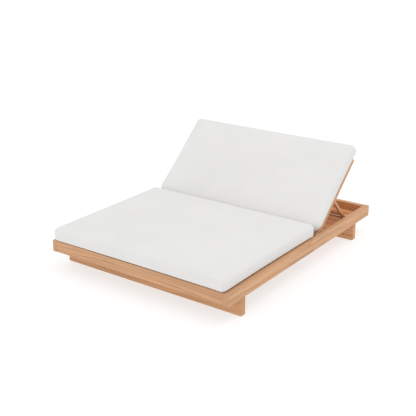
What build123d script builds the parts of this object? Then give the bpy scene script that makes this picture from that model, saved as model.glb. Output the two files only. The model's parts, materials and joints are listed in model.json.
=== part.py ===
"""Double chaise lounger: a low slatted timber frame on two leg boards, with a full-width
backrest that tilts on hinge pins and is held up by a prop whose rod drops into a row of notches.

Frame: X across the lounger, Y from the foot end to the head end, Z up.
The origin is on the floor, under the middle of the frame. Millimetres.
The backrest is modelled at the angle that it is used at, rest_angle above the frame.
"""
from build123d import *
import math
import os

os.makedirs("parts", exist_ok=True)

# Driving dimensions: the outer frame
overall_width = 1500
overall_length = 1950
rail_height = 85
rail_thickness = 42
leg_height = 129            # floor to the underside of the rails
rail_round = 6              # eased long edges of the rails
rail_end_ease = 1.5

# Driving dimensions: leg boards and glides
leg_thickness = 40
front_leg_setback = 150     # foot end to the front face of the front board
rear_leg_setback = 220      # head end to the rear face of the rear board
leg_corner_radius = 11
leg_round = 4
leg_tenon_width = 20
leg_tenon_depth = 24
leg_tenon_height = 35
glide_height = 2
glide_radius = 11
glide_inset = 58
glide_peg_radius = 4
glide_peg_height = 16

# Driving dimensions: rail joints
tenon_thickness = 16
tenon_height = 55
tenon_length = 25
joint_fit = 0.1             # clearance all round in a glued joint
joint_end_gap = 1           # air left at the bottom of a blind mortise

# Driving dimensions: seat platform
slat_thickness = 20
slat_round = 3
slat_end_gap = 1.5
seat_slat_width = 80
seat_slat_least_gap = 18
seat_end_gap = 8            # from the foot rail to the first slat
cleat_width = 24
cleat_height = 24
cleat_ease = 2
spine_width = 40
spine_housing = 6           # how deep a spine's ends are let in

# Driving dimensions: the lower deck under the backrest
deck_drop = 56              # rail top to deck top
deck_slat_thickness = 15
deck_slat_width = 74
deck_slat_gap = 21
deck_head_gap = 2
ledger_width = 36
ledger_bearing = 18         # width of the step that carries the deck slats
ledger_end_gap = 0.5

# Driving dimensions: hinge
hinge_from_head = 725       # head end to the hinge axis
middle_rail_thickness = 40
middle_rail_gap = 104       # hinge axis to the rear face of the middle rail
hinge_pin_radius = 5
hinge_pin_ease = 1
hinge_plate_thickness = 2.5
hinge_plate_width = 36
hinge_plate_height = 42
hinge_plate_corner = 9
hinge_clip_radius = 8
hinge_clip_thickness = 2.4
hinge_clip_gap = 2.6
strap_thickness = 4
strap_length = 54
strap_height = 18
strap_edge = 4              # stile underside to the strap's lower edge
strap_eye_radius = 9.5
strap_screw_radius = 2.5
strap_screw_head_radius = 4.5
strap_screw_head_height = 2
strap_screw_length = 22
strap_screw_places_shares = (0.42, 0.8)
running_fit = 0.05          # radial clearance of a turning pin
tight_fit = 0.02            # radial clearance of a fixed pin

# Driving dimensions: backrest frame
rest_angle = 41.2
stile_width = 32
stile_height = 35
stile_side_gap = 4          # between a stile and the side rail
stile_head_gap = 5          # between the flat backrest and the head rail
stile_tail = 6              # how far the stiles pass the hinge axis
stile_round = 3
back_over_rail = 0.4        # the flat backrest stands this much above the rails
back_slat_thickness = 12
back_slat_width = 80
back_slat_least_gap = 18
back_slat_end_gap = 0.5
back_slat_round = 2
rebate_width = 14
back_rail_width = 42
back_top_rail_width = 38
back_top_rail_rise = 3      # lifts the top rail clear of the folded prop
back_tenon_length = 16
back_tenon_height = 12
back_tenon_margin = 7
centre_stile_width = 40
centre_stile_stop = 103     # stops short of the stiles, over the prop's crossbar

# Driving dimensions: prop
arm_width = 22
arm_radius = 9.6
arm_deck_gap = 0.8
pivot_rise = 24             # pivot above the hinge axis, square to the stiles
washer_thickness = 1.6
washer_gap = 0.2
washer_radius = 8
rod_radius = 6
rod_end_ease = 1
arm_head_gap = 1            # between the prop's arms and the head rail, backrest flat
rod_rack_gap = 0.4          # between the rod and the rack it travels over
rod_end_gap = 4
notch_depth = 3.5
notch_angles = (0, 15, 28, rest_angle, 50, 58)
rack_start = 48             # first rack tooth behind the hinge axis
crossbar_width = 36
crossbar_thickness = 16
crossbar_from_foot = 60
crossbar_tenon = 10
crossbar_tenon_margin = 4
bolt_radius = 4
bolt_head_radius = 7
bolt_head_height = 5
bolt_recess = 6
nut_radius = 7
nut_sides = 6
nut_height = 7
bolt_tip = 2

# Driving dimensions: cushions
cushion_side_inset = 20         # outer face of a side rail to the cushions' sides
seat_cushion_thickness = 98     # at the crown
back_cushion_thickness = 84
cushion_crown = 8
cushion_draw_in = 4
cushion_corner = 28
cushion_hinge_corner = 80   # rounder where the back cushion drops between the rails
cushion_top_round = 24
cushion_bottom_round = 20
seat_cushion_rear_gap = 100     # hinge axis to the seat cushion's rear edge
back_cushion_tail = 4           # how far the back cushion passes the hinge axis
back_cushion_overhang = 70      # how far it passes the top of the stiles
cushion_lift = 0.3

overrun = 20                # how far a cutting tool passes the face it cuts

# Levels and places that follow
half_width = overall_width / 2
half_length = overall_length / 2
rail_top = leg_height + rail_height
rail_centre_x = half_width - rail_thickness / 2
rail_centre_y = half_length - rail_thickness / 2
rail_centre_z = leg_height + rail_height / 2
inner_x = half_width - rail_thickness
inner_y = half_length - rail_thickness

front_leg_y = -half_length + front_leg_setback + leg_thickness / 2
rear_leg_y = half_length - rear_leg_setback - leg_thickness / 2

seat_slat_bottom = rail_top - slat_thickness
cleat_centre_x = inner_x - cleat_width / 2
deck_top = rail_top - deck_drop
deck_bottom = deck_top - deck_slat_thickness

hinge_y = half_length - hinge_from_head
hinge_z = deck_top + arm_deck_gap + arm_radius
middle_rail_rear = hinge_y - middle_rail_gap
middle_rail_front = middle_rail_rear - middle_rail_thickness
middle_rail_y = middle_rail_rear - middle_rail_thickness / 2

# The backrest's own frame: s runs up the backrest from the hinge axis, n stands square to it
cos_rest = math.cos(math.radians(rest_angle))
sin_rest = math.sin(math.radians(rest_angle))
back_plane = Plane(origin=(0, hinge_y, hinge_z), x_dir=(1, 0, 0), z_dir=(0, -sin_rest, cos_rest))
back_up = Axis(back_plane.origin, back_plane.z_dir)
stile_top_n = rail_top + back_over_rail - hinge_z
stile_bottom_n = stile_top_n - stile_height
stile_end_s = inner_y - stile_head_gap - hinge_y
stile_outer_x = inner_x - stile_side_gap
stile_inner_x = stile_outer_x - stile_width
slat_bottom_n = stile_top_n - back_slat_thickness
strap_inner_x = stile_inner_x - strap_thickness

# The prop closes an isosceles triangle, so the rod keeps to the level of the hinge axis
rod_flat_y = inner_y - arm_head_gap - arm_radius
pivot_s = (rod_flat_y - hinge_y) / 2
prop_length = math.hypot(pivot_s, pivot_rise)
pivot_lead = math.degrees(math.atan2(pivot_rise, pivot_s))
prop_slope = rest_angle + pivot_lead
cos_prop = math.cos(math.radians(prop_slope))
sin_prop = math.sin(math.radians(prop_slope))
pivot_y = hinge_y + prop_length * cos_prop
pivot_z = hinge_z + prop_length * sin_prop
arm_outer_x = stile_inner_x - washer_thickness - 2 * washer_gap
arm_inner_x = arm_outer_x - arm_width
rod_half_length = inner_x - rod_end_gap
rack_top = hinge_z - rod_radius - rod_rack_gap

cushion_half_width = half_width - cushion_side_inset


def side_plane(x):
    """The side view of the backrest at x: local X up the backrest, local Y square to it."""
    return Plane(origin=(x, hinge_y, hinge_z), x_dir=(0, cos_rest, sin_rest), z_dir=(1, 0, 0))


def prop_plane(x):
    """The side view of the prop at x: local X from the pivot down to the rod."""
    return Plane(origin=(x, pivot_y, pivot_z), x_dir=(0, cos_prop, -sin_prop), z_dir=(1, 0, 0))


def rod_y(angle):
    """Where the rod stands along Y with the backrest at this angle."""
    return hinge_y + 2 * prop_length * math.cos(math.radians(angle + pivot_lead))


def save(piece, name):
    piece.label = name
    export_step(piece, f"parts/{name}.step")


# Outer frame
def side_rail(side):
    with BuildPart() as rail:
        with BuildSketch(Plane.XZ.offset(-half_length)):
            with Locations((side * rail_centre_x, rail_centre_z)):
                Rectangle(rail_thickness, rail_height)
        extrude(amount=overall_length)
        fillet(rail.edges().filter_by(Axis.Y), rail_round)
        chamfer(rail.faces().filter_by(Axis.Y).edges(), rail_end_ease)
        # Mortises for the foot rail, the head rail and the middle rail
        with BuildSketch(Plane.YZ.offset(side * inner_x)):
            with Locations((-rail_centre_y, rail_centre_z), (rail_centre_y, rail_centre_z)):
                Rectangle(tenon_thickness + 2 * joint_fit, tenon_height + 2 * joint_fit)
            with Locations((middle_rail_y, middle_tenon_z)):
                Rectangle(tenon_thickness + 2 * joint_fit, middle_tenon_height + 2 * joint_fit)
        extrude(amount=side * (tenon_length + joint_end_gap), mode=Mode.SUBTRACT)
        # Mortises for the leg boards
        with BuildSketch(Plane.XY.offset(leg_height)):
            with Locations((side * rail_centre_x, front_leg_y), (side * rail_centre_x, rear_leg_y)):
                Rectangle(leg_tenon_width + 2 * joint_fit, leg_tenon_depth + 2 * joint_fit)
        extrude(amount=leg_tenon_height + joint_end_gap, mode=Mode.SUBTRACT)
    return rail.part


def end_rail(end, housing_top):
    """The foot rail (end -1) or head rail (end 1), with a housing for the spine's end."""
    with BuildPart() as rail:
        with BuildSketch(Plane.YZ.offset(-inner_x)):
            with Locations((end * rail_centre_y, rail_centre_z)):
                Rectangle(rail_thickness, rail_height)
        extrude(amount=2 * inner_x)
        fillet(rail.edges().filter_by(Axis.X), rail_round)
        with BuildSketch(Plane.YZ.offset(-inner_x - tenon_length)):
            with Locations((end * rail_centre_y, rail_centre_z)):
                Rectangle(tenon_thickness, tenon_height)
        extrude(amount=2 * (inner_x + tenon_length))
        housing_height = housing_top - leg_height + joint_fit
        with BuildSketch(Plane.XZ.offset(-end * inner_y)):
            with Locations((0, leg_height + housing_height / 2 - overrun / 2)):
                Rectangle(spine_width + 2 * joint_fit, housing_height + overrun)
        extrude(amount=-end * (spine_housing + joint_fit), mode=Mode.SUBTRACT)
    return rail.part


middle_rail_height = seat_slat_bottom - leg_height
middle_tenon_height = middle_rail_height - cleat_height
middle_tenon_z = leg_height + middle_rail_height / 2

save(side_rail(-1), "left_side_rail")
save(side_rail(1), "right_side_rail")
save(end_rail(-1, seat_slat_bottom), "foot_rail")
save(end_rail(1, deck_bottom), "head_rail")


# Leg boards, tenoned up into the side rails
def leg_board(leg_y):
    with BuildPart() as board:
        with BuildSketch(Plane.XZ.offset(-leg_y - leg_thickness / 2)) as outline:
            with Locations((0, (glide_height + leg_height) / 2)):
                Rectangle(overall_width, leg_height - glide_height)
            fillet(outline.vertices().group_by(Axis.Y)[0], leg_corner_radius)
        extrude(amount=leg_thickness)
        face_edges = board.faces().filter_by(Axis.Y).edges()
        fillet(face_edges.filter_by_position(Axis.Z, 0, leg_height - leg_round), leg_round)
        with BuildSketch(Plane.XY.offset(leg_height)):
            with Locations((-rail_centre_x, leg_y), (rail_centre_x, leg_y)):
                Rectangle(leg_tenon_width, leg_tenon_depth)
        extrude(amount=leg_tenon_height)
        with BuildSketch(Plane.XY.offset(glide_height)):
            with Locations((glide_inset - half_width, leg_y), (half_width - glide_inset, leg_y)):
                Circle(glide_peg_radius + tight_fit)
        extrude(amount=glide_peg_height + joint_end_gap, mode=Mode.SUBTRACT)
    return board.part


save(leg_board(front_leg_y), "front_leg_board")
save(leg_board(rear_leg_y), "rear_leg_board")

glide_x = half_width - glide_inset
glide_places = [(x, y) for x in (-glide_x, glide_x) for y in (front_leg_y, rear_leg_y)]
with BuildPart() as leg_glides:
    with BuildSketch(Plane.XY):
        with Locations(*glide_places):
            Circle(glide_radius)
    extrude(amount=glide_height)
    with BuildSketch(Plane.XY.offset(glide_height)):
        with Locations(*glide_places):
            Circle(glide_peg_radius)
    extrude(amount=glide_peg_height)
save(leg_glides.part, "leg_glides")


# Beams that carry the slats
with BuildPart() as middle_rail:
    with BuildSketch(Plane.YZ.offset(-inner_x)):
        with Locations((middle_rail_y, leg_height + middle_rail_height / 2)):
            Rectangle(middle_rail_thickness, middle_rail_height)
    extrude(amount=2 * inner_x)
    with BuildSketch(Plane.YZ.offset(-inner_x - tenon_length)):
        with Locations((middle_rail_y, middle_tenon_z)):
            Rectangle(tenon_thickness, middle_tenon_height)
    extrude(amount=2 * (inner_x + tenon_length))
    with BuildSketch(Plane.XZ.offset(-middle_rail_front)):
        with Locations((0, leg_height + middle_rail_height / 2)):
            Rectangle(spine_width + 2 * joint_fit, middle_rail_height + overrun)
    extrude(amount=-spine_housing - joint_fit, mode=Mode.SUBTRACT)
    with BuildSketch(Plane.XZ.offset(-middle_rail_rear)):
        with Locations((0, deck_bottom + joint_fit - (deck_bottom - leg_height + overrun) / 2)):
            Rectangle(spine_width + 2 * joint_fit, deck_bottom - leg_height + overrun)
    extrude(amount=spine_housing + joint_fit, mode=Mode.SUBTRACT)
save(middle_rail.part, "middle_rail")


def spine(start_y, end_y, top):
    """A lengthwise beam under the middle of the slats, standing on the leg boards."""
    with BuildPart() as beam:
        with BuildSketch(Plane.XY.offset(leg_height)):
            with Locations((0, (start_y + end_y) / 2)):
                Rectangle(spine_width, end_y - start_y)
        extrude(amount=top - leg_height)
    return beam.part


save(spine(-inner_y - spine_housing, middle_rail_front + spine_housing, seat_slat_bottom), "seat_spine")
save(spine(middle_rail_rear - spine_housing, inner_y + spine_housing, deck_bottom), "deck_spine")


def seat_cleat(side):
    """The bar screwed inside a side rail that carries the ends of the seat slats."""
    with BuildPart() as cleat:
        with BuildSketch(Plane.XZ.offset(-middle_rail_front)):
            with Locations((side * cleat_centre_x, seat_slat_bottom - cleat_height / 2)):
                Rectangle(cleat_width, cleat_height)
        extrude(amount=middle_rail_front + inner_y)
        inner_edges = cleat.edges().filter_by(Axis.Y).sort_by(Axis.X)
        fillet(inner_edges[:2] if side > 0 else inner_edges[-2:], cleat_ease)
    return cleat.part


save(seat_cleat(-1), "left_seat_cleat")
save(seat_cleat(1), "right_seat_cleat")


def rack_ledger(side):
    """Carries the deck slats on its inner step; its outer step is the prop's rack of notches."""
    step_x = inner_x - ledger_width + ledger_bearing
    rack_width = inner_x - step_x
    with BuildPart() as ledger:
        with BuildSketch(Plane.XY.offset(leg_height)):
            with Locations((side * (inner_x - ledger_width / 2), (middle_rail_rear + inner_y) / 2)):
                Rectangle(ledger_width, inner_y - middle_rail_rear - 2 * ledger_end_gap)
        extrude(amount=deck_bottom - leg_height)
        rack_front = hinge_y + rack_start
        rack_length = inner_y - ledger_end_gap - rack_front
        with BuildSketch(Plane.XY.offset(deck_bottom)):
            with Locations((side * (step_x + rack_width / 2), rack_front + rack_length / 2)):
                Rectangle(rack_width, rack_length)
        extrude(amount=rack_top - deck_bottom)
        # Each notch is an arc of the rod's own radius, sunk below the rack's top
        with BuildSketch(Plane.YZ.offset(side * step_x)):
            with Locations(*[(rod_y(angle), rack_top + rod_radius - notch_depth) for angle in notch_angles]):
                Circle(rod_radius)
        extrude(amount=side * rack_width, mode=Mode.SUBTRACT)
    return ledger.part


save(rack_ledger(-1), "left_rack_ledger")
save(rack_ledger(1), "right_rack_ledger")


# Slats of the seat platform and of the lower deck
def slat(centre_y, width, length, bottom, thickness):
    with BuildPart() as board:
        with BuildSketch(Plane.XY.offset(bottom)):
            with Locations((0, centre_y)):
                Rectangle(length, width)
        extrude(amount=thickness)
        fillet(board.edges().filter_by(Axis.X).group_by(Axis.Z)[-1], slat_round)
    return board.part


def slats_that_fit(length, width, gap):
    """How many slats of this width lie in a length, with at least this gap between them."""
    return math.floor((length + gap) / (width + gap))


seat_slat_first_y = -inner_y + seat_end_gap + seat_slat_width / 2
seat_slat_last_y = middle_rail_rear - seat_slat_width / 2
seat_slats_span = seat_slat_last_y - seat_slat_first_y + seat_slat_width
seat_slat_count = slats_that_fit(seat_slats_span, seat_slat_width, seat_slat_least_gap)
seat_slat_pitch = (seat_slat_last_y - seat_slat_first_y) / (seat_slat_count - 1)
seat_slat_length = 2 * (inner_x - slat_end_gap)
for index in range(seat_slat_count):
    place = seat_slat_first_y + index * seat_slat_pitch
    board = slat(place, seat_slat_width, seat_slat_length, seat_slat_bottom, slat_thickness)
    save(board, f"seat_slat_{index + 1}")

deck_slat_length = 2 * (inner_x - ledger_width + ledger_bearing - back_slat_end_gap)
deck_slat_last_y = inner_y - deck_head_gap - deck_slat_width / 2
deck_slats_span = inner_y - deck_head_gap - middle_rail_rear
deck_slat_count = slats_that_fit(deck_slats_span, deck_slat_width, deck_slat_gap)
for index in range(deck_slat_count):
    place = deck_slat_last_y - (deck_slat_count - 1 - index) * (deck_slat_width + deck_slat_gap)
    board = slat(place, deck_slat_width, deck_slat_length, deck_bottom, deck_slat_thickness)
    save(board, f"deck_slat_{index + 1}")


# Hinge pins, fixed to the side rails
def hinge_pin(side):
    with BuildPart() as pin:
        with BuildSketch(Plane.YZ.offset(side * inner_x)) as flange:
            with Locations((hinge_y, hinge_z)):
                Rectangle(hinge_plate_width, hinge_plate_height)
            fillet(flange.vertices(), hinge_plate_corner)
        extrude(amount=-side * hinge_plate_thickness)
        with BuildSketch(Plane.YZ.offset(side * (inner_x - hinge_plate_thickness))):
            with Locations((hinge_y, hinge_z)):
                Circle(hinge_pin_radius)
        pin_tip_x = strap_inner_x - hinge_clip_gap - 2 * hinge_clip_thickness
        extrude(amount=-side * (inner_x - hinge_plate_thickness - pin_tip_x))
        tip = pin.faces().filter_by(Axis.X).sort_by(Axis.X)[0 if side > 0 else -1]
        chamfer(tip.edges(), hinge_pin_ease)
    return pin.part


save(hinge_pin(-1), "left_hinge_pin")
save(hinge_pin(1), "right_hinge_pin")

with BuildPart() as hinge_clips:
    for side in (-1, 1):
        with BuildSketch(Plane.YZ.offset(side * (strap_inner_x - hinge_clip_gap))):
            with Locations((hinge_y, hinge_z)):
                Circle(hinge_clip_radius)
                Circle(hinge_pin_radius + tight_fit, mode=Mode.SUBTRACT)
        extrude(amount=-side * hinge_clip_thickness)
save(hinge_clips.part, "hinge_clips")


# Backrest frame
strap_centre_n = stile_bottom_n + strap_edge + strap_height / 2
strap_screw_places = [(share * strap_length, strap_centre_n) for share in strap_screw_places_shares]
back_rail_s = strap_length + joint_end_gap + back_rail_width / 2
top_rail_s = stile_end_s - back_top_rail_width / 2
back_rail_height = slat_bottom_n - stile_bottom_n
top_rail_height = back_rail_height - back_top_rail_rise
back_rail_n = stile_bottom_n + back_rail_height / 2
top_rail_n = slat_bottom_n - top_rail_height / 2


def back_stile(side):
    with BuildPart() as stile:
        length = stile_end_s + stile_tail
        with BuildSketch(side_plane(side * stile_inner_x)):
            with Locations(((stile_end_s - stile_tail) / 2, stile_bottom_n + stile_height / 2)):
                Rectangle(length, stile_height)
        extrude(amount=side * stile_width)
        along = stile.edges().filter_by(lambda edge: abs(edge.length - length) < stile_round)
        outer = along.sort_by(Axis.X)[-2:] if side > 0 else along.sort_by(Axis.X)[:2]
        fillet(outer, stile_round)
        # Rebate that the slats lie in
        with BuildSketch(side_plane(side * stile_inner_x)):
            with Locations(((stile_end_s - stile_tail) / 2, slat_bottom_n + overrun / 2)):
                Rectangle(length + overrun, overrun)
        extrude(amount=side * rebate_width, mode=Mode.SUBTRACT)
        # Mortises for the two cross rails
        with BuildSketch(side_plane(side * stile_inner_x)):
            with Locations((back_rail_s, back_rail_n)):
                Rectangle(back_rail_width - 2 * back_tenon_margin + 2 * joint_fit,
                          back_tenon_height + 2 * joint_fit)
            with Locations((top_rail_s, top_rail_n)):
                Rectangle(back_top_rail_width - 2 * back_tenon_margin + 2 * joint_fit,
                          back_tenon_height + 2 * joint_fit)
        extrude(amount=side * (back_tenon_length + joint_end_gap), mode=Mode.SUBTRACT)
        # Bolt hole and head recess of the prop's pivot, and the strap's screw holes
        with BuildSketch(side_plane(side * stile_inner_x)):
            with Locations((pivot_s, pivot_rise)):
                Circle(bolt_radius + tight_fit)
        extrude(amount=side * stile_width, mode=Mode.SUBTRACT)
        with BuildSketch(side_plane(side * stile_outer_x)):
            with Locations((pivot_s, pivot_rise)):
                Circle(bolt_head_radius + joint_fit)
        extrude(amount=-side * bolt_recess, mode=Mode.SUBTRACT)
        with BuildSketch(side_plane(side * stile_inner_x)):
            with Locations(*strap_screw_places):
                Circle(strap_screw_radius + tight_fit)
        extrude(amount=side * (strap_screw_length - strap_thickness + joint_end_gap), mode=Mode.SUBTRACT)
    return stile.part


save(back_stile(-1), "left_back_stile")
save(back_stile(1), "right_back_stile")


def back_cross_rail(place_s, place_n, width, height):
    with BuildPart() as rail:
        with BuildSketch(side_plane(-stile_inner_x)):
            with Locations((place_s, place_n)):
                Rectangle(width, height)
        extrude(amount=2 * stile_inner_x)
        with BuildSketch(side_plane(-stile_inner_x - back_tenon_length)):
            with Locations((place_s, place_n)):
                Rectangle(width - 2 * back_tenon_margin, back_tenon_height)
        extrude(amount=2 * (stile_inner_x + back_tenon_length))
    return rail.part


save(back_cross_rail(back_rail_s, back_rail_n, back_rail_width, back_rail_height), "back_bottom_rail")
save(back_cross_rail(top_rail_s, top_rail_n, back_top_rail_width, top_rail_height), "back_top_rail")

with BuildPart() as back_centre_stile:
    centre_start_s = back_rail_s + back_rail_width / 2
    centre_end_s = stile_end_s - centre_stile_stop
    with BuildSketch(back_plane.offset(stile_bottom_n)):
        with Locations((0, (centre_start_s + centre_end_s) / 2)):
            Rectangle(centre_stile_width, centre_end_s - centre_start_s)
    extrude(amount=back_rail_height)
save(back_centre_stile.part, "back_centre_stile")


def back_slat(centre_s):
    with BuildPart() as board:
        with BuildSketch(back_plane.offset(slat_bottom_n)):
            with Locations((0, centre_s)):
                Rectangle(2 * (stile_inner_x + rebate_width - back_slat_end_gap), back_slat_width)
        extrude(amount=back_slat_thickness)
        fillet(board.faces().sort_by(back_up)[-1].edges().filter_by(Axis.X), back_slat_round)
    return board.part


first_slat_s = back_slat_width / 2 - stile_tail
last_slat_s = stile_end_s - back_slat_width / 2
back_slats_span = last_slat_s - first_slat_s + back_slat_width
back_slat_count = slats_that_fit(back_slats_span, back_slat_width, back_slat_least_gap)
back_slat_pitch = (last_slat_s - first_slat_s) / (back_slat_count - 1)
for index in range(back_slat_count):
    save(back_slat(first_slat_s + index * back_slat_pitch), f"back_slat_{index + 1}")


# Hinge straps: a plate on each stile with an eye that turns on the hinge pin
def hinge_strap(side):
    with BuildPart() as strap:
        with BuildSketch(side_plane(side * strap_inner_x)) as outline:
            with Locations((strap_length / 2 - stile_tail / 2, strap_centre_n)):
                Rectangle(strap_length + stile_tail, strap_height)
            with Locations((0, strap_centre_n / 2)):
                Rectangle(2 * strap_eye_radius, strap_centre_n)
            Circle(strap_eye_radius)
        extrude(amount=side * strap_thickness)
        with BuildSketch(side_plane(side * strap_inner_x)):
            Circle(hinge_pin_radius + running_fit)
            with Locations(*strap_screw_places):
                Circle(strap_screw_radius + tight_fit)
        extrude(amount=side * strap_thickness, mode=Mode.SUBTRACT)
    return strap.part


save(hinge_strap(-1), "left_hinge_strap")
save(hinge_strap(1), "right_hinge_strap")

with BuildPart() as strap_screws:
    for side in (-1, 1):
        with BuildSketch(side_plane(side * strap_inner_x)):
            with Locations(*strap_screw_places):
                Circle(strap_screw_radius)
        extrude(amount=side * strap_screw_length)
        with BuildSketch(side_plane(side * strap_inner_x)):
            with Locations(*strap_screw_places):
                Circle(strap_screw_head_radius)
        extrude(amount=-side * strap_screw_head_height)
save(strap_screws.part, "strap_screws")


# Prop pivots: bolt, nut and washer on each side, carried by the stiles
with BuildPart() as pivot_bolts:
    for side in (-1, 1):
        head_x = stile_outer_x - bolt_recess
        with BuildSketch(side_plane(side * head_x)):
            with Locations((pivot_s, pivot_rise)):
                Circle(bolt_head_radius)
        extrude(amount=side * bolt_head_height)
        with BuildSketch(side_plane(side * head_x)):
            with Locations((pivot_s, pivot_rise)):
                Circle(bolt_radius)
        extrude(amount=-side * (head_x - arm_inner_x + washer_gap + nut_height + bolt_tip))
save(pivot_bolts.part, "pivot_bolts")

with BuildPart() as pivot_nuts:
    for side in (-1, 1):
        with BuildSketch(side_plane(side * (arm_inner_x - washer_gap))):
            with Locations((pivot_s, pivot_rise)):
                RegularPolygon(nut_radius, nut_sides)
                Circle(bolt_radius + tight_fit, mode=Mode.SUBTRACT)
        extrude(amount=-side * nut_height)
save(pivot_nuts.part, "pivot_nuts")

with BuildPart() as pivot_washers:
    for side in (-1, 1):
        with BuildSketch(side_plane(side * (stile_inner_x - washer_gap))):
            with Locations((pivot_s, pivot_rise)):
                Circle(washer_radius)
                Circle(bolt_radius + tight_fit, mode=Mode.SUBTRACT)
        extrude(amount=-side * washer_thickness)
save(pivot_washers.part, "pivot_washers")


# Prop: two arms, the rod that stands in the notches, and a crossbar
crossbar_place = prop_length - crossbar_from_foot


def prop_arm(side):
    with BuildPart() as arm:
        with BuildSketch(prop_plane(side * arm_inner_x)):
            with Locations((prop_length / 2, 0)):
                SlotCenterToCenter(prop_length, 2 * arm_radius)
        extrude(amount=side * arm_width)
        with BuildSketch(prop_plane(side * arm_inner_x)):
            Circle(bolt_radius + running_fit)
            with Locations((prop_length, 0)):
                Circle(rod_radius + tight_fit)
        extrude(amount=side * arm_width, mode=Mode.SUBTRACT)
        with BuildSketch(prop_plane(side * arm_inner_x)):
            with Locations((crossbar_place, 0)):
                Rectangle(crossbar_width - 2 * crossbar_tenon_margin + 2 * joint_fit,
                          crossbar_thickness - 2 * crossbar_tenon_margin + 2 * joint_fit)
        extrude(amount=side * (crossbar_tenon + joint_end_gap), mode=Mode.SUBTRACT)
    return arm.part


save(prop_arm(-1), "left_prop_arm")
save(prop_arm(1), "right_prop_arm")

with BuildPart() as prop_rod:
    with BuildSketch(prop_plane(-rod_half_length)):
        with Locations((prop_length, 0)):
            Circle(rod_radius)
    extrude(amount=2 * rod_half_length)
    chamfer(prop_rod.edges().filter_by(GeomType.CIRCLE), rod_end_ease)
save(prop_rod.part, "prop_rod")

with BuildPart() as prop_crossbar:
    with BuildSketch(prop_plane(-arm_inner_x)):
        with Locations((crossbar_place, 0)):
            Rectangle(crossbar_width, crossbar_thickness)
    extrude(amount=2 * arm_inner_x)
    fillet(prop_crossbar.edges().filter_by(Axis.X), back_slat_round)
    with BuildSketch(prop_plane(-arm_inner_x - crossbar_tenon)):
        with Locations((crossbar_place, 0)):
            Rectangle(crossbar_width - 2 * crossbar_tenon_margin,
                      crossbar_thickness - 2 * crossbar_tenon_margin)
    extrude(amount=2 * (arm_inner_x + crossbar_tenon))
save(prop_crossbar.part, "prop_crossbar")


# Cushions: a crowned top, sides a little drawn in between rounded corners, soft edges
def cushion(plane, near, far, thickness, near_corner):
    """A cushion lying on plane, from near to far along its local Y."""
    middle = (near + far) / 2
    crown_radius = (cushion_half_width ** 2 + cushion_crown ** 2) / (2 * cushion_crown)
    corners = [
        (-cushion_half_width, near),
        (cushion_half_width, near),
        (cushion_half_width, far),
        (-cushion_half_width, far),
    ]
    side_middles = [
        (cushion_draw_in - cushion_half_width, middle),
        (0, near + cushion_draw_in),
        (cushion_half_width - cushion_draw_in, middle),
        (0, far - cushion_draw_in),
    ]
    with BuildPart(plane) as pad:
        with BuildSketch(plane) as outline:
            with BuildLine():
                for index in range(len(corners)):
                    ThreePointArc(corners[index - 1], side_middles[index], corners[index])
            make_face()
            fillet(outline.vertices().sort_by(Axis.Y)[-2:], cushion_corner)
            fillet(outline.vertices().sort_by(Axis.Y)[:2], near_corner)
        extrude(amount=thickness)
        with Locations((0, middle, thickness - crown_radius)):
            Sphere(crown_radius, rotation=(90, 0, 0), mode=Mode.INTERSECT)
        up = Axis(plane.origin, plane.z_dir)
        fillet(pad.faces().sort_by(up)[-1].edges(), cushion_top_round)
        fillet(pad.faces().sort_by(up)[0].edges(), cushion_bottom_round)
    return pad.part


seat_cushion_plane = Plane.XY.offset(rail_top + cushion_lift)
seat_cushion_rear = hinge_y - seat_cushion_rear_gap
seat_cushion = cushion(seat_cushion_plane, -half_length, seat_cushion_rear,
                       seat_cushion_thickness, cushion_corner)
save(seat_cushion, "seat_cushion")

back_cushion_plane = back_plane.offset(stile_top_n + cushion_lift)
back_cushion_end = stile_end_s + back_cushion_overhang
back_cushion = cushion(back_cushion_plane, -back_cushion_tail, back_cushion_end,
                       back_cushion_thickness, cushion_hinge_corner)
save(back_cushion, "back_cushion")
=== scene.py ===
import json
import math

import bmesh
import bpy
import numpy as np
from mathutils import Matrix, Vector


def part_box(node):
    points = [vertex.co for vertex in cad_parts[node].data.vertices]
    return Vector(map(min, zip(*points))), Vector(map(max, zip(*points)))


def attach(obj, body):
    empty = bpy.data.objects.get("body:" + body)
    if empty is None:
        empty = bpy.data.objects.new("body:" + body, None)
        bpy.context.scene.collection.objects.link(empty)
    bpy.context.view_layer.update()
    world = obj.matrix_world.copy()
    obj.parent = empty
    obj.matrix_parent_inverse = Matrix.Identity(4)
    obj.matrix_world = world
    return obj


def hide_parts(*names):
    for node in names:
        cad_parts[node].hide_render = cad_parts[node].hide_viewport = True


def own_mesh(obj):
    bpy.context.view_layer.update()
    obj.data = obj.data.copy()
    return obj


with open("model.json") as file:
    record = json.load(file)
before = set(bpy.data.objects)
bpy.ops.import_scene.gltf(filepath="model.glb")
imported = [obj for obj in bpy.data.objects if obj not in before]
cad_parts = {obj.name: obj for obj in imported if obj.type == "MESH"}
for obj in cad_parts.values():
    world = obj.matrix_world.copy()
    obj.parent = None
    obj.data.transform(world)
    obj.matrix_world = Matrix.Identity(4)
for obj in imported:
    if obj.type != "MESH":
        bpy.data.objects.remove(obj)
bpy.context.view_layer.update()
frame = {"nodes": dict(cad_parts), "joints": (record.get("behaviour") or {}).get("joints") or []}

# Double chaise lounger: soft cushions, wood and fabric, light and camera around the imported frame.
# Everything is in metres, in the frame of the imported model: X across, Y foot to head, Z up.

MM = 0.001

# The backrest's own frame, taken from its hinge: local Y up the backrest, local Z out of its slats
tilt = next(joint for joint in frame["joints"] if joint["name"] == "backrest_tilt")
hinge_axis = Vector(tilt["pos_m"])
rest_angle = math.radians(-tilt["range_deg"][0])
BACK_PLACE = Matrix.Translation(hinge_axis) @ Matrix.Rotation(rest_angle, 4, "X")

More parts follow.
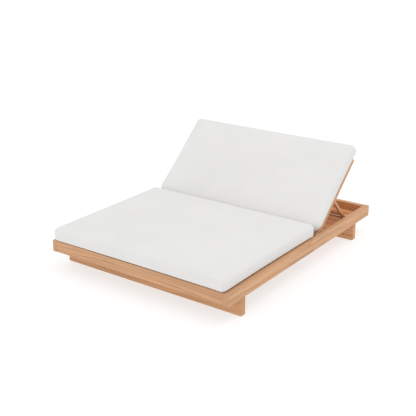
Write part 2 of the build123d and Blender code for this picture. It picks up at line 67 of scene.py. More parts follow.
# The prop slopes the other way, from its pivot down to the rod
swing = next(joint for joint in frame["joints"] if joint["name"] == "prop_swing")
pivot = Vector(swing["pos_m"])
rod_low, rod_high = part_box("prop_rod")
rod_centre = (rod_low + rod_high) / 2
prop_angle = math.atan2(rod_centre.z - pivot.z, rod_centre.y - pivot.y)


# Materials

# Teak: the tones through one ring, and the tints that tell one board from the next; the last two tints are
# painted light on the deck slats and the head rail
LIGHT_WOOD = (0.63, 0.374, 0.211)
MID_WOOD = (0.575, 0.326, 0.176)
DARK_WOOD = (0.48, 0.256, 0.13)
TINTS_AND_PAINTED_LIGHT = [
    (1, 1, 1), (1.04, 1.0, 0.95), (0.96, 0.93, 0.91), (1.03, 1.05, 1.04), (0.98, 0.94, 0.87),
    # the last two are painted light, for the deck slats and the head rail
    (1.2, 0.98, 0.76), (1.1, 1.08, 1.03),
]
LOOSE_WARMTHS = 5       # the first ones, which the hidden boards take in turn; the deck slats take the painted bounce light below
# The deck slats' tint is painted light: warmer and brighter, standing in for the orange light bounced
# between the timbers under the backrest
DECK_PAINTED_BOUNCE = 5
# The head rail's tint is painted light: it lightens the whole rail, standing in for light on its inner
# face, which lies in shade under the backrest
HEAD_RAIL_PAINTED_LIGHT = 6

# The place in the log of the first timber, and the step to the next one's
LOG_START = (0, 0.053, -0.09)
LOG_STEP = (0.37, 0.061, 0.041)

# Scales of the grain's patterns, along the board and across it
LOG_STRETCH = (0.05, 1, 1)
STREAK_SCALE = (2.5, 160, 160)
PORE_SCALE = (45, 900, 900)
PATCH_SCALE = (1.6, 14, 14)
RING_SCALE = 54
RING_WANDER = 0.03

# How strongly each pattern darkens the rings, and what end grain is multiplied by: it drinks more oil
PATCH_SHARE = 0.9
STREAK_SHARE = 0.8
PORE_SHARE = 0.5
END_GRAIN_TINT = (0.95, 0.92, 0.9, 1)

FABRIC_COLOUR = (0.715, 0.71, 0.7)
THREAD_SCALE = 210
SLUB_SCALE = (30, 420, 420)
CLOUD_SCALE = 3.5

STEEL_COLOUR = (0.62, 0.62, 0.61)
STEEL_LINES = (600, 40, 600)
ROD_COLOUR = (0.4, 0.34, 0.29)
ROD_LINES = (25, 700, 700)
GLIDE_COLOUR = (0.018, 0.018, 0.018)


def new_material(name):
    """A node material with its shader, and short ways to add nodes and links."""
    material = bpy.data.materials.new(name)
    material.use_nodes = True
    tree = material.node_tree
    shader = tree.nodes["Principled BSDF"]

    def node(kind, inputs=(), **settings):
        made = tree.nodes.new(kind)
        for key, value in settings.items():
            setattr(made, key, value)
        for key, value in dict(inputs).items():
            if isinstance(value, bpy.types.NodeSocket):
                tree.links.new(value, made.inputs[key])
            else:
                made.inputs[key].default_value = value
        return made

    def link(out_socket, in_name):
        tree.links.new(out_socket, shader.inputs[in_name])

    return material, shader, node, link


def colour_ramp(node, factor, stops):
    """A colour ramp through (place, colour) stops."""
    ramp = node("ShaderNodeValToRGB", {"Fac": factor})
    elements = ramp.color_ramp.elements
    while len(elements) < len(stops):
        elements.new(0.5)
    for element, (place, colour) in zip(elements, stops):
        element.position = place
        element.color = (*colour, 1)
    return ramp.outputs["Color"]


# A mix node has sockets for every kind of value, under the same names: these are the ones for colours
MIX_FACTOR, MIX_FIRST, MIX_SECOND, MIX_RESULT = 0, 6, 7, 2


def mixed(node, blend, factor, first, second):
    """Two colours mixed by factor."""
    mix = node("ShaderNodeMix", data_type="RGBA", blend_type=blend)
    for number, value in ((MIX_FACTOR, factor), (MIX_FIRST, first), (MIX_SECOND, second)):
        if isinstance(value, bpy.types.NodeSocket):
            mix.id_data.links.new(value, mix.inputs[number])
        else:
            mix.inputs[number].default_value = value
    return mix.outputs[MIX_RESULT]


def stretched(node, places, scale):
    """The same places with each axis scaled, which draws a pattern out or makes it fine."""
    return node("ShaderNodeMapping", {"Vector": places, "Scale": scale}).outputs["Vector"]


def tinted(colour, tint):
    """A colour times a tint, channel by channel."""
    return tuple(value * share for value, share in zip(colour, tint))


def timber(name, turn, shift, tint_and_light):
    """Oiled teak. turn brings the grain to local X, shift picks the place in the log, and the last argument
    tints it: with a board's own tone, and on the deck and the head rail with painted light as well.
    """
    material, shader, node, link = new_material(name)
    coordinates = node("ShaderNodeTexCoord")
    straight = node(
        "ShaderNodeMapping", {"Vector": coordinates.outputs["Object"], "Rotation": turn, "Location": shift}
    ).outputs["Vector"]
    drawn_out = stretched(node, straight, LOG_STRETCH)
    # Slow waves in the log, so that the rings run out on a board's face
    wander = node("ShaderNodeTexNoise", {"Vector": drawn_out, "Scale": 9, "Detail": 2})
    bend = node(
        "ShaderNodeVectorMath", {0: wander.outputs["Color"], "Scale": RING_WANDER}, operation="SCALE"
    ).outputs["Vector"]
    bent = node("ShaderNodeVectorMath", {0: drawn_out, 1: bend}, operation="ADD").outputs["Vector"]
    rings = node(
        "ShaderNodeTexWave",
        {"Vector": bent, "Scale": RING_SCALE, "Distortion": 3, "Detail": 3, "Detail Scale": 1.6},
        wave_type="RINGS", rings_direction="X", wave_profile="SAW",
    )
    streaks = node(
        "ShaderNodeTexNoise",
        {"Vector": stretched(node, straight, STREAK_SCALE),
         "Scale": 1, "Detail": 6, "Roughness": 0.62},
    )
    pores = node(
        "ShaderNodeTexNoise",
        {"Vector": stretched(node, straight, PORE_SCALE),
         "Scale": 1, "Detail": 2, "Roughness": 0.5},
    )
    patches = node(
        "ShaderNodeTexNoise",
        {"Vector": stretched(node, straight, PATCH_SCALE),
         "Scale": 1, "Detail": 3},
    )
    light_wood = tinted(LIGHT_WOOD, tint_and_light)
    ringed = colour_ramp(
        node, rings.outputs["Fac"],
        [(0.0, light_wood), (0.6, tinted(MID_WOOD, tint_and_light)),
         (0.93, tinted(DARK_WOOD, tint_and_light)), (1.0, light_wood)],
    )
    drift = colour_ramp(
        node, patches.outputs["Fac"],
        [(0.3, (0.86, 0.83, 0.83)), (0.5, (1, 1, 1)), (0.72, (1.07, 1.03, 0.98))],
    )
    streaked = colour_ramp(
        node, streaks.outputs["Fac"],
        [(0.3, (0.84, 0.81, 0.78)), (0.55, (1, 1, 1)), (0.75, (1.06, 1.05, 1.03))],
    )
    pored = colour_ramp(node, pores.outputs["Fac"], [(0.3, (0.62, 0.55, 0.5)), (0.4, (1, 1, 1))])
    colour = mixed(node, "MULTIPLY", PATCH_SHARE, ringed, drift)
    colour = mixed(node, "MULTIPLY", STREAK_SHARE, colour, streaked)
    colour = mixed(node, "MULTIPLY", PORE_SHARE, colour, pored)
    # End grain is where the face looks along the board
    turned_normal = node("ShaderNodeMapping", {"Vector": coordinates.outputs["Normal"], "Rotation": turn})
    normal_parts = node("ShaderNodeSeparateXYZ", {0: turned_normal.outputs["Vector"]})
    along = node("ShaderNodeMath", {0: normal_parts.outputs["X"]}, operation="ABSOLUTE")
    end_grain = node(
        "ShaderNodeMapRange", {"Value": along.outputs[0], "From Min": 0.7, "From Max": 0.95},
        interpolation_type="SMOOTHSTEP",
    )
    colour = mixed(node, "MULTIPLY", end_grain.outputs[0], colour, END_GRAIN_TINT)
    link(colour, "Base Color")
    rough = node("ShaderNodeMapRange", {"Value": streaks.outputs["Fac"], "To Min": 0.5, "To Max": 0.66})
    link(rough.outputs[0], "Roughness")
    relief = node("ShaderNodeMath", {0: streaks.outputs["Fac"], 1: pores.outputs["Fac"]}, operation="ADD")
    bump = node("ShaderNodeBump", {"Height": relief.outputs[0], "Strength": 0.35, "Distance": 0.0004})
    link(bump.outputs["Normal"], "Normal")
    shader.inputs["Specular IOR Level"].default_value = 0.35
    return material


def fabric(name, colour):
    """A close outdoor weave: two crossed sets of threads, slubs, and a little nap."""
    material, shader, node, link = new_material(name)
    coordinates = node("ShaderNodeTexCoord")
    place = coordinates.outputs["Object"]
    facing = node("ShaderNodeSeparateXYZ", {0: coordinates.outputs["Normal"]})
    threads = []
    for direction in ("X", "Y", "Z"):
        wave = node(
            "ShaderNodeTexWave",
            {"Vector": place, "Scale": THREAD_SCALE, "Distortion": 0.6, "Detail": 1, "Detail Scale": 3},
            wave_type="BANDS", bands_direction=direction, wave_profile="SIN",
        )
        # A set of threads shows only where it crosses the surface: not on faces square to its direction
        square_on = node("ShaderNodeMath", {0: facing.outputs[direction]}, operation="ABSOLUTE")
        share = node(
            "ShaderNodeMapRange",
            {"Value": square_on.outputs[0], "From Min": 0.4, "From Max": 0.8, "To Min": 1, "To Max": 0},
        )
        thread = node("ShaderNodeMath", {0: wave.outputs["Fac"], 1: share.outputs[0]}, operation="MULTIPLY")
        threads.append(thread.outputs[0])
    pair = node("ShaderNodeMath", {0: threads[0], 1: threads[1]}, operation="ADD")
    triple = node("ShaderNodeMath", {0: pair.outputs[0], 1: threads[2]}, operation="ADD")
    woven = node("ShaderNodeMath", {0: triple.outputs[0], 1: 0.5}, operation="MULTIPLY")
    slubs = node(
        "ShaderNodeTexNoise",
        {"Vector": stretched(node, place, SLUB_SCALE),
         "Scale": 1, "Detail": 4, "Roughness": 0.6},
    )
    clouds = node(
        "ShaderNodeTexNoise", {"Vector": place, "Scale": CLOUD_SCALE, "Detail": 3, "Roughness": 0.55}
    )
    shade = colour_ramp(
        node, clouds.outputs["Fac"],
        [(0.35, tuple(value * 0.985 for value in colour)), (0.65, tuple(value * 1.01 for value in colour))],
    )
    thread = colour_ramp(node, woven.outputs[0], [(0.0, (0.93, 0.93, 0.93)), (0.6, (1, 1, 1))])
    slub = colour_ramp(node, slubs.outputs["Fac"], [(0.3, (0.95, 0.95, 0.945)), (0.5, (1, 1, 1))])
    tint = mixed(node, "MULTIPLY", 0.7, mixed(node, "MULTIPLY", 1.0, shade, thread), slub)
    link(tint, "Base Color")
    rough = node("ShaderNodeMapRange", {"Value": slubs.outputs["Fac"], "To Min": 0.82, "To Max": 0.95})
    link(rough.outputs[0], "Roughness")
    height = node("ShaderNodeMath", {0: woven.outputs[0], 1: slubs.outputs["Fac"]}, operation="ADD")
    bump = node("ShaderNodeBump", {"Height": height.outputs[0], "Strength": 0.3, "Distance": 0.0005})
    link(bump.outputs["Normal"], "Normal")
    shader.inputs["Specular IOR Level"].default_value = 0.2
    shader.inputs["Sheen Weight"].default_value = 0.15
    shader.inputs["Sheen Roughness"].default_value = 0.5
    return material


def metal(name, colour, stretch):
    """Brushed stainless steel with fine lines drawn out along one direction."""
    material, shader, node, link = new_material(name)
    place = node("ShaderNodeTexCoord").outputs["Object"]
    lines = node(
        "ShaderNodeTexNoise",
        {"Vector": stretched(node, place, stretch),
         "Scale": 1, "Detail": 4, "Roughness": 0.6},
    )
    darker = tuple(value * 0.82 for value in colour)
    link(colour_ramp(node, lines.outputs["Fac"], [(0.35, darker), (0.65, colour)]), "Base Color")
    rough = node("ShaderNodeMapRange", {"Value": lines.outputs["Fac"], "To Min": 0.26, "To Max": 0.42})
    link(rough.outputs[0], "Roughness")
    bump = node("ShaderNodeBump", {"Height": lines.outputs["Fac"], "Strength": 0.15, "Distance": 0.0001})
    link(bump.outputs["Normal"], "Normal")
    shader.inputs["Metallic"].default_value = 1
    return material


def plastic(name, colour):
    """Moulded plastic with a fine spark-eroded grain."""
    material, shader, node, link = new_material(name)
    place = node("ShaderNodeTexCoord").outputs["Object"]
    grain = node("ShaderNodeTexNoise", {"Vector": place, "Scale": 900, "Detail": 2})
    lighter = tuple(value * 1.3 for value in colour)
    link(colour_ramp(node, grain.outputs["Fac"], [(0.35, colour), (0.7, lighter)]), "Base Color")
    bump = node("ShaderNodeBump", {"Height": grain.outputs["Fac"], "Strength": 0.2, "Distance": 0.0002})
    link(bump.outputs["Normal"], "Normal")
    shader.inputs["Roughness"].default_value = 0.55
    return material


# Turns that bring a board's grain to local X
ALONG_X = (0, 0, 0)
ALONG_Y = (0, 0, -math.pi / 2)


def along_slope(angle):
    """The turn that brings a grain running up a slope in the YZ plane to local X."""
    return (Matrix.Rotation(-math.pi / 2, 3, "Z") @ Matrix.Rotation(-angle, 3, "X")).to_euler("XYZ")[:]


woods = {}


def wood(turn_name, turn, variant):
    """One of a few timbers, made once for each grain direction and tone."""
    key = (turn_name, variant)
    if key not in woods:
        shift = tuple(start + variant * step for start, step in zip(LOG_START, LOG_STEP))
        woods[key] = timber(f"teak_{turn_name}_{variant}", turn, shift, TINTS_AND_PAINTED_LIGHT[variant])
    return woods[key]


def cover(node_name, material):
    """Gives a CAD node this material alone."""
    slots = frame["nodes"][node_name].data.materials
    slots.clear()
    slots.append(material)


STEEL = metal("steel_brushed", STEEL_COLOUR, STEEL_LINES)
ROD_STEEL = metal("steel_rod", ROD_COLOUR, ROD_LINES)
GLIDE = plastic("glide_plastic", GLIDE_COLOUR)

# Which way each board's grain runs, and the number of its tint; the head rail's tint is painted light
GRAIN_ALONG_Y = {
    "left_side_rail": 0, "right_side_rail": 0, "seat_spine": 2, "deck_spine": 2,
    "left_seat_cleat": 4, "right_seat_cleat": 1, "left_rack_ledger": 1, "right_rack_ledger": 4,
}
GRAIN_UP_BACKREST = {"left_back_stile": 1, "right_back_stile": 0, "back_centre_stile": 2}
GRAIN_UP_PROP = {"left_prop_arm": 3, "right_prop_arm": 1}
GRAIN_ALONG_X = {"foot_rail": 2, "front_leg_board": 4, "head_rail": HEAD_RAIL_PAINTED_LIGHT}
METAL_PREFIXES = ("left_hinge", "right_hinge", "hinge_clips", "strap_screws", "pivot_")

for count, name in enumerate(sorted(frame["nodes"])):
    if name in GRAIN_ALONG_Y:
        cover(name, wood("y", ALONG_Y, GRAIN_ALONG_Y[name]))
    elif name in GRAIN_UP_BACKREST:
        cover(name, wood("back", along_slope(rest_angle), GRAIN_UP_BACKREST[name]))
    elif name in GRAIN_UP_PROP:
        cover(name, wood("prop", along_slope(prop_angle), GRAIN_UP_PROP[name]))
    elif name == "prop_rod":
        cover(name, ROD_STEEL)
    elif name == "leg_glides":
        cover(name, GLIDE)
    elif name.startswith("deck_slat"):
        # the deck slats take the tint of painted bounce light
        cover(name, wood("x", ALONG_X, DECK_PAINTED_BOUNCE))
    elif name.startswith(METAL_PREFIXES):
        cover(name, STEEL)
    else:
        cover(name, wood("x", ALONG_X, GRAIN_ALONG_X.get(name, (count * 2) % LOOSE_WARMTHS)))


# Cushions

# The grid of a cushion's panels, finer in a band along the edges
CUSHION_CELL = 14 * MM
EDGE_CELL = 6.5 * MM
EDGE_BAND = 52 * MM

EDGE_ROUND = 27 * MM
BOTTOM_ROUND = 20 * MM
PLAN_CORNER = 44 * MM
HINGE_CORNER = 94 * MM      # rounder where the back cushion drops between the rails
DRAW_IN = 4 * MM            # how far the sides pull in between the corners
CROWN_RADIUS = 55           # metres
SEAM_DEPTH = 1.5 * MM
SEAM_COSINE = math.sqrt(0.5)    # the seams run halfway round the edges, at 45 degrees
WALL_SHARES = (0.2, 0.4, 0.6, 0.8, 1)
ROUND_ANGLES = (math.pi / 6, math.pi / 12)      # the rings between a seam and the upright wall

# How far the cover stands out of its solid's box: at its left, right, near end, far end and top. The loose
# cushions lie a few millimetres to the left of the middle, as in the photograph.
SEAT_PROUD = np.array((8, -7, 8, 5, 8)) * MM
BACK_PROUD = np.array((6, -14, 0, 8, 6)) * MM

# The filling: a cover cut SIM_INSET small is blown up, and no point moves further than SIM_CAP
SIM_INSET = 5 * MM
SIM_CAP = 6.5 * MM
SIM_FRAMES = 20
SIM_SETTINGS = {
    "quality": 4, "mass": 0.3, "tension_stiffness": 18, "compression_stiffness": 18, "shear_stiffness": 8,
    "bending_stiffness": 0.6, "use_pressure": True, "uniform_pressure_force": 4,
}
SHORTEST_MOVE = 1e-9        # keeps a point that hasn't moved from a division by zero


def graded(low, high):
    """Places from low to high, close together near both ends."""
    edge_count = round(EDGE_BAND / EDGE_CELL)
    middle_count = max(2, round((high - low - 2 * EDGE_BAND) / CUSHION_CELL))
    near = np.linspace(low, low + EDGE_BAND, edge_count, endpoint=False)
    middle = np.linspace(low + EDGE_BAND, high - EDGE_BAND, middle_count, endpoint=False)
    far = np.linspace(high - EDGE_BAND, high, edge_count + 1)
    return np.concatenate([near, middle, far])


def rounded_plan(x, y, half_x, half_y, near_corner, far_corner):
    """Moves the corner squares of a rectangular grid onto quarter discs."""
    corner = np.where(y < 0, near_corner, far_corner)
    inner_x = half_x - corner
    inner_y = half_y - corner
    u = np.clip((np.abs(x) - inner_x) / corner, 0, 1)
    v = np.clip((np.abs(y) - inner_y) / corner, 0, 1)
    in_corner = (u > 0) & (v > 0)
    new_x = np.sign(x) * (inner_x + corner * u * np.sqrt(1 - v * v / 2))
    new_y = np.sign(y) * (inner_y + corner * v * np.sqrt(1 - u * u / 2))
    return np.where(in_corner, new_x, x), np.where(in_corner, new_y, y)


def inset_of(x, y, half_x, half_y, near_corner, far_corner):
    """How far a point lies inside the rounded outline."""
    corner = np.where(y < 0, near_corner, far_corner)
    qx = np.abs(x) - half_x + corner
    qy = np.abs(y) - half_y + corner
    outside = np.hypot(np.maximum(qx, 0), np.maximum(qy, 0))
    return corner - outside - np.minimum(np.maximum(qx, qy), 0)


def cushion_mesh(half_x, half_y, thickness, near_corner, far_corner):
    """A boxed cushion around its own middle, resting on z = 0.

    Returns its points, its faces and its two seams as rows of point numbers."""
    seam_inset = EDGE_ROUND * (1 - SEAM_COSINE)
    low_inset = BOTTOM_ROUND * (1 - SEAM_COSINE)
    points = []
    faces = []

    def panel(inset, edge_round, top, flip):
        """The top or bottom panel, up to its seam. Returns its outline as point numbers."""
        hx, hy = half_x - inset, half_y - inset
        gx, gy = np.meshgrid(
            graded(-half_x, half_x) * hx / half_x, graded(-half_y, half_y) * hy / half_y, indexing="ij"
        )
        corners = (near_corner - inset, far_corner - inset)
        x, y = rounded_plan(gx, gy, hx, hy, *corners)
        depth = np.clip(inset + inset_of(x, y, hx, hy, *corners), 0, edge_round)
        drop = edge_round - np.sqrt(edge_round ** 2 - (edge_round - depth) ** 2)
        z = thickness - drop if top else drop
        first = len(points)
        points.extend(zip(x.ravel(), y.ravel(), z.ravel()))
        rows, columns = x.shape
        number = first + np.arange(rows * columns).reshape(rows, columns)
        quads = (number[:-1, :-1], number[1:, :-1], number[1:, 1:], number[:-1, 1:])
        for a, b, c, d in zip(*(corner.ravel() for corner in quads)):
            faces.append((a, d, c, b) if flip else (a, b, c, d))
        return np.concatenate([number[:-1, 0], number[-1, :-1], number[:0:-1, -1], number[0, :0:-1]])

    top_loop = panel(seam_inset, EDGE_ROUND, True, False)
    bottom_loop = panel(low_inset, BOTTOM_ROUND, False, True)
    # The boxing between the seams: round at both edges, upright between
    top_points = np.array([points[i] for i in top_loop])
    outer = []
    for x, y, _ in top_points:
        corner = near_corner if y < 0 else far_corner
        qx, qy = abs(x) - half_x + corner, abs(y) - half_y + corner
        if qx > 0 and qy > 0:
            length = math.hypot(qx, qy)
            outer.append((math.copysign(qx / length, x), math.copysign(qy / length, y)))
        else:
            outer.append((math.copysign(1, x), 0) if qx > qy else (0, math.copysign(1, y)))
    outer = np.array(outer)
    levels = [(EDGE_ROUND * (math.cos(a) - SEAM_COSINE), thickness - EDGE_ROUND + EDGE_ROUND * math.sin(a))
              for a in (*ROUND_ANGLES, 0)]
    wall_top, wall_low = thickness - EDGE_ROUND, BOTTOM_ROUND
    levels += [(seam_inset, wall_top + (wall_low - wall_top) * share) for share in WALL_SHARES]
    levels += [(seam_inset - BOTTOM_ROUND * (1 - math.cos(a)), BOTTOM_ROUND - BOTTOM_ROUND * math.sin(a))
               for a in reversed(ROUND_ANGLES)]

    def band(upper, lower):
        """The faces between two rings of point numbers."""
        for i in range(count):
            after = (i + 1) % count
            faces.append((upper[i], lower[i], lower[after], upper[after]))

    previous = top_loop
    count = len(top_loop)
    for reach, height in levels:
        first = len(points)
        ring = top_points[:, :2] + outer * reach
        points.extend((px, py, height) for px, py in ring)
        current = first + np.arange(count)
        band(previous, current)
        previous = current
    band(previous, bottom_loop)
    return np.array(points), faces, (top_loop, bottom_loop)


def drawn_in_and_crowned(points, half_x, half_y, thickness):
    """The sides pull in between the corners, and the top is highest in the middle."""
    u = points[:, 0] / half_x
    v = points[:, 1] / half_y
    points[:, 0] -= np.sign(u) * np.abs(u) * DRAW_IN * np.clip(1 - v * v, 0, 1)
    points[:, 1] -= np.sign(v) * np.abs(v) * DRAW_IN * np.clip(1 - u * u, 0, 1)
    share = np.clip(points[:, 2] / thickness, 0, 1)
    points[:, 2] -= share * (points[:, 0] ** 2 + points[:, 1] ** 2) / (2 * CROWN_RADIUS)
    return points


def puffed(piece, start):
    """Inflates the cover with cloth, then keeps each point within the cap of where it started."""
    cloth = piece.modifiers.new("puff", "CLOTH")
    for key, value in SIM_SETTINGS.items():
        setattr(cloth.settings, key, value)
    cloth.settings.effector_weights.gravity = 0
    cloth.point_cache.frame_start = 1
    cloth.point_cache.frame_end = SIM_FRAMES
    scene = bpy.context.scene
    for step in range(1, SIM_FRAMES + 1):
        scene.frame_set(step)
    evaluated = piece.evaluated_get(bpy.context.evaluated_depsgraph_get())
    moved = np.zeros(len(start) * 3)
    evaluated.data.vertices.foreach_get("co", moved)
    piece.modifiers.remove(cloth)
    scene.frame_set(1)
    offset = moved.reshape(-1, 3) - start
    length = np.linalg.norm(offset, axis=1, keepdims=True)
    capped = SIM_CAP * np.tanh(length / SIM_CAP)
    return start + offset * capped / np.maximum(length, SHORTEST_MOVE)


def make_cushion(name, node_name, body, place, lows, highs, near_corner, far_corner, proud):
    """Builds the cushion that stands for a CAD node, whose box in the cushion's own frame is given.

    proud says how far the cover stands out of that box: at its left, right, near end, far end and top."""
    half_x = (highs[0] - lows[0]) / 2 + DRAW_IN / 2 - SIM_INSET
    half_y = (highs[1] - lows[1]) / 2 + DRAW_IN / 2 - SIM_INSET
    thickness = highs[2] - lows[2]
    points, faces, seams = cushion_mesh(
        half_x, half_y, thickness, near_corner - SIM_INSET, far_corner - SIM_INSET
    )
    points = drawn_in_and_crowned(points, half_x, half_y, thickness)
    mesh = bpy.data.meshes.new(name)
    mesh.from_pydata([tuple(p) for p in points], [], [tuple(int(i) for i in f) for f in faces])
    mesh.validate()
    piece = bpy.data.objects.new(name, mesh)
    bpy.context.scene.collection.objects.link(piece)
    points = puffed(piece, points)
    # The filled cover is brought to its solid's outline, and stands out of it as proud says
    middle = (highs + lows) / 2
    left, right, near, far, top = proud
    starts = (lows[0] - left - middle[0], lows[1] - near - middle[1], 0)
    ends = (highs[0] + right - middle[0], highs[1] + far - middle[1], thickness + top)
    points[:, 2] = np.maximum(points[:, 2], 0)
    for axis, (start, end) in enumerate(zip(starts, ends)):
        along = points[:, axis]
        points[:, axis] = np.interp(along, (along.min(), along.max()), (start, end))
    mesh.vertices.foreach_set("co", points.ravel())
    mesh.update()
    # The seams pull the cover in a little
    normals = np.zeros(len(points) * 3)
    mesh.vertices.foreach_get("normal", normals)
    normals = normals.reshape(-1, 3)
    for seam in seams:
        points[seam] -= normals[seam] * SEAM_DEPTH
    mesh.vertices.foreach_set("co", points.ravel())
    for polygon in mesh.polygons:
        polygon.use_smooth = True
    rounder = piece.modifiers.new("rounder", "SUBSURF")
    rounder.levels = rounder.render_levels = 1
    mesh.materials.append(FABRIC)
    piece.matrix_world = place @ Matrix.Translation((middle[0], middle[1], lows[2]))
    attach(piece, body)
    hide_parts(node_name)
    return piece


def box_in(node_name, place):
    """The box of a CAD node in the frame that place describes."""
    back = place.inverted()
    corners = np.array([back @ vertex.co for vertex in frame["nodes"][node_name].data.vertices])
    return corners.min(0), corners.max(0)


FABRIC = fabric("outdoor_fabric", FABRIC_COLOUR)

seat_place = Matrix.Identity(4)
seat_lows, seat_highs = box_in("seat_cushion", seat_place)
seat_soft = make_cushion(
    "seat_cushion_soft", "seat_cushion", "frame", seat_place, seat_lows, seat_highs,
    PLAN_CORNER, PLAN_CORNER, SEAT_PROUD,
)
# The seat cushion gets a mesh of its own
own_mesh(seat_soft)

back_lows, back_highs = box_in("back_cushion", BACK_PLACE)
make_cushion(
    "back_cushion_soft", "back_cushion", "backrest", BACK_PLACE, back_lows, back_highs,
    HINGE_CORNER, PLAN_CORNER, BACK_PROUD,
)


# Screws

# The head's outline from the rim up, as shares of its radius and height, then its star recess
HEAD_OUTLINE = ((1.0, 0), (1.0, 0.35), (0.86, 0.8), (0.6, 1.0))
RECESS_RADII = (0.46, 0.3)
RECESS_LEVELS = (1.0, 0.25)
SCREW_SINK = 0.1 * MM       # how far a deck screw's head starts below the slat's face

DECK_SCREW_FROM_END = 9 * MM
DECK_SCREW_SHARES = (0.25, 0.75)    # across the slat's width
DECK_SCREW_RADIUS = 3.8 * MM
DECK_SCREW_HEIGHT = 1.4 * MM
DECK_SCREW_SIDES = 20

HINGE_PLATE_FACE = 2.5 * MM     # from the plate's back to the face that the screws stand on
HINGE_SCREW_FROM_EDGE = 8 * MM
HINGE_SCREW_RADIUS = 2.6 * MM
HINGE_SCREW_HEIGHT = 0.6 * MM
HINGE_SCREW_SIDES = 16


def screw_heads(name, body, places, radius, height, sides):
    """Pan-head screws with a star recess, joined in one mesh.

    Each place is a point and an outward direction."""
    work = bmesh.new()

    def ring(put, radii, level):
        """One ring of corners at a level, whose radii take turns."""
        corners = []
        for i in range(sides):
            reach = radius * radii[i % len(radii)]
            angle = 2 * math.pi * i / sides
            corner = Vector((reach * math.cos(angle), reach * math.sin(angle), height * level))
            corners.append(work.verts.new(put @ corner))
        return corners

    for point, outward in places:
        turn = Vector((0, 0, 1)).rotation_difference(Vector(outward)).to_matrix().to_4x4()
        put = Matrix.Translation(point) @ turn
        rings = [ring(put, (share,), level) for share, level in HEAD_OUTLINE]
        rings += [ring(put, RECESS_RADII, level) for level in RECESS_LEVELS]
        for lower, upper in zip(rings, rings[1:]):
            for i in range(sides):
                work.faces.new((lower[i], lower[(i + 1) % sides], upper[(i + 1) % sides], upper[i]))
        work.faces.new(rings[-1])
    mesh = bpy.data.meshes.new(name)
    work.to_mesh(mesh)
    work.free()
    piece = bpy.data.objects.new(name, mesh)
    bpy.context.scene.collection.objects.link(piece)
    mesh.materials.append(STEEL)
    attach(piece, body)
    return piece


deck_slats = sorted(name for name in frame["nodes"] if name.startswith("deck_slat_"))
deck_places = []
for name in deck_slats:
    low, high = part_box(name)
    for x in (low.x + DECK_SCREW_FROM_END, high.x - DECK_SCREW_FROM_END):
        for share in DECK_SCREW_SHARES:
            deck_places.append(((x, low.y + share * (high.y - low.y), high.z - SCREW_SINK), (0, 0, 1)))
screw_heads(
    "deck_slat_screws", "frame", deck_places, DECK_SCREW_RADIUS, DECK_SCREW_HEIGHT, DECK_SCREW_SIDES
)

hinge_places = []
for side in ("left", "right"):
    low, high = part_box(f"{side}_hinge_pin")
    outward = (1, 0, 0) if side == "left" else (-1, 0, 0)
    face_x = low.x + HINGE_PLATE_FACE if side == "left" else high.x - HINGE_PLATE_FACE
    for y in (low.y + HINGE_SCREW_FROM_EDGE, high.y - HINGE_SCREW_FROM_EDGE):
        for z in (low.z + HINGE_SCREW_FROM_EDGE, high.z - HINGE_SCREW_FROM_EDGE):
            hinge_places.append(((face_x, y, z), outward))
screw_heads(
    "hinge_plate_screws", "frame", hinge_places, HINGE_SCREW_RADIUS, HINGE_SCREW_HEIGHT, HINGE_SCREW_SIDES
)


# Floor, light and camera

FLOOR_HALF = 30
FLOOR_COLOUR = (0.35, 0.35, 0.35)
FLOOR_ROUGHNESS = 0.9
FLOOR_GLOW = 0.66       # brings the floor to the photograph's white without losing the soft shadow


def plain(name, colour, roughness):
    """An even, faintly mottled surface."""
    material, shader, node, link = new_material(name)
    place = node("ShaderNodeTexCoord").outputs["Object"]
    mottle = node("ShaderNodeTexNoise", {"Vector": place, "Scale": 0.6, "Detail": 2})
    darker = tuple(value * 0.99 for value in colour)
    link(colour_ramp(node, mottle.outputs["Fac"], [(0.3, darker), (0.7, colour)]), "Base Color")
    shader.inputs["Roughness"].default_value = roughness
    return material


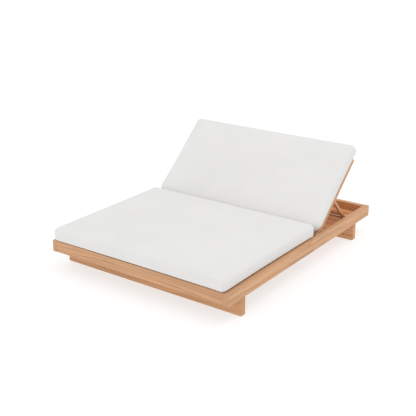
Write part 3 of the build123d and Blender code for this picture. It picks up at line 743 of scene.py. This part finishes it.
floor_mesh = bpy.data.meshes.new("floor")
floor_corners = [(x * FLOOR_HALF, y * FLOOR_HALF, 0) for x, y in ((-1, -1), (1, -1), (1, 1), (-1, 1))]
floor_mesh.from_pydata(floor_corners, [], [(0, 1, 2, 3)])
floor = bpy.data.objects.new("floor", floor_mesh)
floor_material = plain("floor_pale", FLOOR_COLOUR, FLOOR_ROUGHNESS)
floor_shader = floor_material.node_tree.nodes["Principled BSDF"]
floor_shader.inputs["Emission Color"].default_value = (1, 1, 1, 1)
floor_shader.inputs["Emission Strength"].default_value = FLOOR_GLOW
floor_mesh.materials.append(floor_material)
bpy.context.scene.collection.objects.link(floor)


def soft_light(name, place, target, size, power, colour):
    """A round area light at a place, aimed at a target."""
    light = bpy.data.lights.new(name, "AREA")
    light.shape = "DISK"
    light.size = size
    light.energy = power
    light.color = colour
    lamp = bpy.data.objects.new(name, light)
    lamp.location = place
    lamp.rotation_euler = (Vector(target) - Vector(place)).to_track_quat("-Z", "Y").to_euler()
    bpy.context.scene.collection.objects.link(lamp)


soft_light("key", place=(3.0, 1.0, 6.5), target=(0, 0, 0.2), size=4.0, power=80, colour=(1, 0.985, 0.965))
soft_light("fill", place=(-5.0, -4.0, 4.0), target=(0, 0, 0.2), size=5.0, power=20, colour=(0.97, 0.985, 1))
soft_light("front", place=(-1.0, -6.0, 0.8), target=(0, 0, 0.1), size=3.0, power=30, colour=(1, 0.99, 0.98))

world = bpy.data.worlds.new("studio")
bpy.context.scene.world = world
world.use_nodes = True
world.node_tree.nodes["Background"].inputs["Color"].default_value = (1, 1, 1, 1)
world.node_tree.nodes["Background"].inputs["Strength"].default_value = 1.0

# The camera that was fitted to the photograph's frame edges
PHOTO_WIDTH = 416
FOCAL_PIXELS = 824.08
SENSOR_WIDTH = 36
AZIMUTH = math.radians(35.74)
ELEVATION = math.radians(20.24)
DISTANCE = 6.58806
TARGET = Vector((-0.34082, 0.32871, 0.15))

camera_data = bpy.data.cameras.new("camera")
camera_data.sensor_fit = "HORIZONTAL"
camera_data.sensor_width = SENSOR_WIDTH
camera_data.lens = FOCAL_PIXELS * camera_data.sensor_width / PHOTO_WIDTH
camera = bpy.data.objects.new("camera", camera_data)
back = Vector((
    math.sin(AZIMUTH) * math.cos(ELEVATION), -math.cos(AZIMUTH) * math.cos(ELEVATION), math.sin(ELEVATION)
))
camera.location = TARGET + back * DISTANCE
camera.rotation_euler = back.to_track_quat("Z", "Y").to_euler()
bpy.context.scene.collection.objects.link(camera)
bpy.context.scene.camera = camera
bpy.context.scene.view_settings.view_transform = "Standard"
